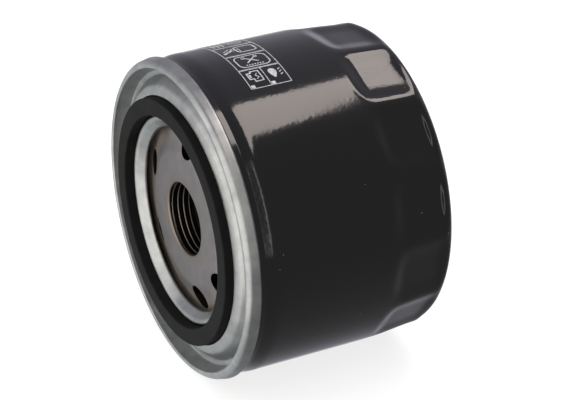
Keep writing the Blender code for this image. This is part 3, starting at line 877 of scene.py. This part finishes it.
print("a box with round corners:", len(box(0, 0, 4, 2, 0.5)), "points")

# %% [markdown]
# ## The pictograms
#
# The panel is a strip of five boxes, and the first of them is halved. The drawings are plain ones
# made for this filter: an oil can with a spout, a drop with its splashes, crossed tools over a row
# of dots, a strap wrench beside a can, bars and a ring, and a long plate. Each is a few ribbons and
# patches, and together they are one piece.

# %% Boxes, oil can and drop
ROW = 7.3
WIDTH = 10.6
marks = [ribbon(box(0, 0.3 + row * ROW, WIDTH, (row + 1) * ROW), closed=True) for row in range(5)]
marks.append(ribbon([(WIDTH / 2 + 0.1, 0.3), (WIDTH / 2 + 0.1, ROW)]))
for left in (0.25, WIDTH / 2 + 0.35):
    marks.append(patch(box(left, 0.5, left + 1.0, 1.5), np.array((left + 0.5, 1.0))))

# An oil can with a spout, in the first box's left half
oil_can = [(1.2, 3.6), (1.2, 5.8), (2.3, 5.8), (2.3, 6.4), (4.4, 6.4), (4.4, 2.6), (2.3, 2.6), (2.3, 3.6)]
marks.append(ribbon(oil_can, 0.32, closed=True))
marks.append(ribbon([(1.75, 4.1), (1.75, 5.3)], 0.5))
marks.append(ribbon([(3.0, 3.4), (3.7, 4.0), (3.1, 4.7), (3.7, 5.5)], 0.25))

# A drop in its right half, a round base that narrows to a tip, and its splashes
drop_turn = np.radians(np.linspace(0, 345, 24))
drop = np.stack((
    7.6 + 1.3 * np.sin(drop_turn) * np.sin(drop_turn / 2),
    4.3 - 1.8 * np.cos(drop_turn),
), axis=1)
marks.append(patch(drop, np.array((7.6, 4.3))))
marks += [ribbon([(9.2, y), (9.9, y + 0.5)], 0.3) for y in (3.2, 4.2, 5.2)]
print("marks so far:", len(marks))

# %% [markdown]
# ## The other boxes
#
# Each box's drawing starts from its low edge, so it can be moved as one.

# %% Tools, wrench, ring and bars
# Two crossed tools over a row of dots, in a round-cornered frame
low = ROW + 0.3
marks.append(ribbon(box(1.3, low + 0.8, 9.4, low + 6.2, 1.5), 0.3, closed=True))
for lean in (-1, 1):
    marks.append(ribbon([(5.3 - 1.5 * lean, low + 2.6), (5.3 + 1.3 * lean, low + 5.0)], 0.38))
    marks.append(ribbon(arc((5.3 + 1.6 * lean, low + 5.2), 0.4, 0, 340, 9), 0.25, closed=True))
for along in np.arange(3.2, 7.6, 0.7):
    marks.append(patch(arc((along, low + 1.6), 0.24, 0, 315, 8), np.array((along, low + 1.6))))

# A strap wrench beside a can's outline
low = 2 * ROW + 0.3
marks.append(ribbon([(0.9, low + 2.0), (3.6, low + 3.6)], 0.7))
marks.append(ribbon([(1.2, low + 3.3), (3.3, low + 4.9)], 0.3))
marks.append(ribbon(arc((4.3, low + 4.0), 0.8, 90, 270, 9), 0.28))
marks.append(ribbon(box(4.6, low + 1.5, 9.5, low + 5.6, 1.0), 0.38, closed=True))
marks.append(ribbon([(5.4, low + 2.3), (5.4, low + 4.8)], 0.22))

# Bars, and a ring with a bar
low = 3 * ROW + 0.3
marks += [ribbon([(x, low + 1.5), (x, low + 5.5)], 0.45) for x in (1.6, 2.8, 4.0)]
marks.append(ribbon(arc((7.6, low + 3.5), 1.6, 0, 345, 25), 0.3, closed=True))
marks.append(ribbon([(6.6, low + 3.5), (8.6, low + 3.5)], 0.3))

# A long plate with round corners and a bar in it
low = 4 * ROW + 0.3
marks.append(ribbon(box(1.5, low + 1.6, 9.1, low + 5.4, 1.2), 0.3, closed=True))
marks.append(ribbon([(3.0, low + 3.5), (7.6, low + 3.5)], 0.4))
piece("fitting_pictograms", marks, "housing", None, ink)

# %% [markdown]
# ## The pieces inside
#
# Little of the inside can be seen through the bore and the inlet holes, but the pieces come apart,
# so each has its own finish. Their shapes are the engineering model's own. Rolled tinplate and
# blued spring steel are metals with faint clouds. Filter paper is stiffened with a tan resin and has
# a fibrous tooth. Cured plastisol and seam compound are dull and a little lumpy, and silicone rubber
# is smooth and dark. One function makes the kind of finish they share: two tints mixed by a cloudy
# pattern, over a fine tooth, each with its size in millimetres.


# %% Finishes of the inner pieces
def mottled(name, dark, light, cloud, tooth, height, **values):
    """A finish whose colour clouds between two tints, over a tooth of a given size and height."""
    material, tree, shader, place = new_finish(name, **values)
    clouds = node(tree, "TexNoise", {"Vector": place, "Scale": grain(cloud), "Detail": 5.0})
    tint = node(tree, "ValToRGB", {"Fac": clouds.outputs["Fac"]})
    tint.color_ramp.elements[0].position = 0.35
    tint.color_ramp.elements[0].color = linear(dark)
    tint.color_ramp.elements[1].position = 0.65
    tint.color_ramp.elements[1].color = linear(light)
    tree.links.new(tint.outputs["Color"], shader.inputs["Base Color"])
    fine = node(tree, "TexNoise", {"Vector": place, "Scale": grain(tooth), "Detail": 3.0})
    rough = node(tree, "Bump", {"Height": fine.outputs["Fac"], "Distance": height * MM})
    tree.links.new(rough.outputs["Normal"], shader.inputs["Normal"])
    return material


inner = {
    "tinplate": mottled("rolled_tinplate", "a9a8a2", "c9c8c2", 6, 0.4, 0.006, Metallic=1.0, Roughness=0.32),
    "spring_steel": mottled(
        "blued_spring_steel", "4d4a47", "6d6965", 5, 0.3, 0.006, Metallic=1.0, Roughness=0.35,
    ),
    "filter_paper": mottled("resin_filter_paper", "b8924f", "d2ad6c", 3, 0.2, 0.05, Roughness=0.85),
    "plastisol": mottled("cured_plastisol", "7a2d1c", "963d27", 4, 0.5, 0.03, Roughness=0.5),
    "silicone_rubber": mottled("silicone_rubber", "1b1a1a", "262424", 6, 0.3, 0.02, Roughness=0.6),
    "seam_sealant": mottled("seam_compound", "6f716b", "8b8d87", 3, 0.4, 0.03, Roughness=0.7),
    "nitrile_rubber": nitrile,
}
slots = {row["node"]: row["material_slot"] for row in frame["record"]["subparts"]}
showing = {name: thing for name, thing in nodes.items() if not thing.hide_render}
for name, thing in showing.items():
    thing.data.materials.clear()
    thing.data.materials.append(inner[slots[name]])
print("inner pieces:", len(showing))

# %% [markdown]
# ## The two springs
#
# A spring between two bodies gets shorter as they close, so it can follow neither of them. Here each
# spring is a copy of its node, with the loose triangles merged first, and it rides on one body: the
# housing for the leaf, and the element for the coil. It keeps its node's length.


def spring(name, replaced, body):
    """A copy of a spring node with its loose triangles merged, which rides on a body and hides the node."""
    merged = bmesh.new()
    merged.from_mesh(nodes[replaced].data)
    bmesh.ops.remove_doubles(merged, verts=merged.verts, dist=0.001 * MM)
    mesh = bpy.data.meshes.new(name)
    merged.to_mesh(mesh)
    merged.free()
    mesh.materials.append(inner["spring_steel"])
    thing = add(name, mesh)
    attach(thing, body)
    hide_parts(replaced)
    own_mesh(thing)


spring("leaf_spring", "element_spring", "housing")
spring("coil_spring", "bypass_spring", "element")

# %% [markdown]
# ## The table
#
# The filter lies on a pale matt table. The table glows a little, so that it stays pale to its edge,
# and it is left out of reflections, so that the room's tones set them.

# %% Floor
FLOOR_HALF = 2.0
floor_level = cad_box[0].z - 0.0001
floor_corners = [
    (-FLOOR_HALF, -FLOOR_HALF, floor_level), (FLOOR_HALF, -FLOOR_HALF, floor_level),
    (FLOOR_HALF, FLOOR_HALF, floor_level), (-FLOOR_HALF, FLOOR_HALF, floor_level),
]
floor_mesh = bpy.data.meshes.new("floor")
floor_mesh.from_pydata(floor_corners, [], [(0, 1, 2, 3)])
floor = add("floor", floor_mesh)
floor.visible_glossy = False
table, tree, shader, place = new_finish("pale_table", Roughness=0.9)
shader.inputs["Base Color"].default_value = linear("909090")
shader.inputs["Emission Color"].default_value = linear("ffffff")
shader.inputs["Emission Strength"].default_value = 0.8
shader.inputs["Specular IOR Level"].default_value = 0.0
floor_mesh.materials.append(table)
print("table at", round(floor_level / MM, 1), "mm")

# %% [markdown]
# ## The softbox and the ceiling
#
# Gloss black shows little but what it reflects, so the shape of the softbox matters more than its
# power: it is seen in the enamel as one long band. It is a warm glowing sheet, half a metre up and
# behind the closed end, wide at its near edge and narrow at its far one. A mesh is used for it,
# because an area light can only be a rectangle or an ellipse. A wide ceiling light that reflections
# don't show softens the shadow.

# %% Lights
SOFTBOX_HEIGHT = 0.5
SOFTBOX_CORNERS = (
    (-0.18, 0.425), (-0.112, 0.25), (-0.05, 0.06), (0.27, 0.06),
    (0.135, 0.22), (0.10, 0.25), (0.05, 0.27), (-0.02, 0.29), (-0.02, 0.425),
)
box_mesh = bpy.data.meshes.new("strip_softbox")
box_mesh.from_pydata([(x, y, SOFTBOX_HEIGHT) for x, y in SOFTBOX_CORNERS], [], [range(len(SOFTBOX_CORNERS))])
strip = add("strip_softbox", box_mesh)
strip.visible_camera = False
cloth, tree, shader, place = new_finish("softbox_cloth")
shader.inputs["Base Color"].default_value = (0.0, 0.0, 0.0, 1.0)
shader.inputs["Emission Color"].default_value = linear("fff3ee")
shader.inputs["Emission Strength"].default_value = 6.4
box_mesh.materials.append(cloth)

ceiling_light = bpy.data.lights.new("ceiling", "AREA")
ceiling_light.size = 1.6
ceiling_light.energy = 9.0
ceiling = add("ceiling", ceiling_light)
ceiling.location = (0.0, 0.0, 0.9)
ceiling.visible_camera = False
ceiling.visible_glossy = False
print("softbox:", len(SOFTBOX_CORNERS), "corners, ceiling light", ceiling_light.size, "m wide")

# %% [markdown]
# ## The room
#
# The dim room gives the dark tones beside the band, and the cards in it light the zinc. It is drawn
# on the world as light that depends only on direction. A card is brightest in the direction it
# stands in and fades where the cosine of the angle to it falls from core to edge. A narrow strip on
# the right draws the fine line along the can's neck. The camera itself sees plain white.

# %% Cards round the filter
ROOM_TONE = (0.28, 0.28, 0.29)
ROOM_CARDS = {  # name: direction, cosine at the edge, cosine at the core, light
    "left wall": ((-1.0, 0.2, 0.2), -0.2, 0.6, (0.43, 0.42, 0.48)),
    "low front card": ((-0.65, -0.45, -0.6), 0.6, 0.85, (0.76, 0.79, 0.82)),
    "front window": ((0.2, -0.95, 0.1), 0.45, 0.8, (1.86, 1.83, 1.78)),
    "far wall's edge": ((-0.8, 0.6, 0.06), 0.975, 0.995, (0.75, 0.76, 0.85)),
    "low back card": ((-0.82, 0.28, -0.5), 0.93, 0.985, (1.1, 1.08, 1.05)),
}
world = bpy.data.worlds.new("room")
bpy.context.scene.world = world
world.use_nodes = True
tree = world.node_tree
gaze = node(tree, "TexCoord").outputs["Generated"]
room = (*ROOM_TONE, 1.0)
for towards, edge, core, light in ROOM_CARDS.values():
    cosine = node(tree, "VectorMath", {0: gaze, 1: Vector(towards).normalized()}, operation="DOT_PRODUCT")
    share = node(tree, "MapRange", {
        "Value": cosine.outputs["Value"], "From Min": edge, "From Max": core,
    }, interpolation_type="SMOOTHSTEP")
    room = node(tree, "Mix", {
        "Factor": share.outputs["Result"], "A": room, "B": (*light, 1.0),
    }, data_type="RGBA").outputs["Result"]
print("room:", len(ROOM_CARDS), "cards")

# %% [markdown]
# ## The narrow strip
#
# The strip is where the direction's Y is near -0.1, on the right, and above the horizon or just
# below it. It is the product of those three soft steps.

# %% Strip and world
STRIP_Y = -0.1
part = node(tree, "SeparateXYZ", {0: gaze})
off_strip = node(tree, "Math", {0: part.outputs["Y"], 1: STRIP_Y}, operation="SUBTRACT")
off_strip = node(tree, "Math", {0: off_strip.outputs["Value"]}, operation="ABSOLUTE")
strip_light = node(tree, "MapRange", {
    "Value": off_strip.outputs["Value"], "From Min": 0.045, "From Max": 0.025,
}).outputs["Result"]
for axis, dark, lit in (("X", 0.5, 0.6), ("Z", -0.15, 0.0)):
    side = node(tree, "MapRange", {"Value": part.outputs[axis], "From Min": dark, "From Max": lit})
    strip_light = node(tree, "Math", {
        0: strip_light, 1: side.outputs["Result"],
    }, operation="MULTIPLY").outputs["Value"]
room = node(tree, "Mix", {
    "Factor": strip_light, "A": room, "B": (2.6, 2.4, 2.3, 1.0),
}, data_type="RGBA").outputs["Result"]
seen = node(tree, "LightPath").outputs["Is Camera Ray"]
tone = node(tree, "Mix", {"Factor": seen, "A": room, "B": (1.0, 1.0, 1.0, 1.0)}, data_type="RGBA")
tree.links.new(tone.outputs["Result"], tree.nodes["Background"].inputs["Color"])
bpy.context.scene.view_settings.view_transform = "Standard"
print("room nodes:", len(tree.nodes))
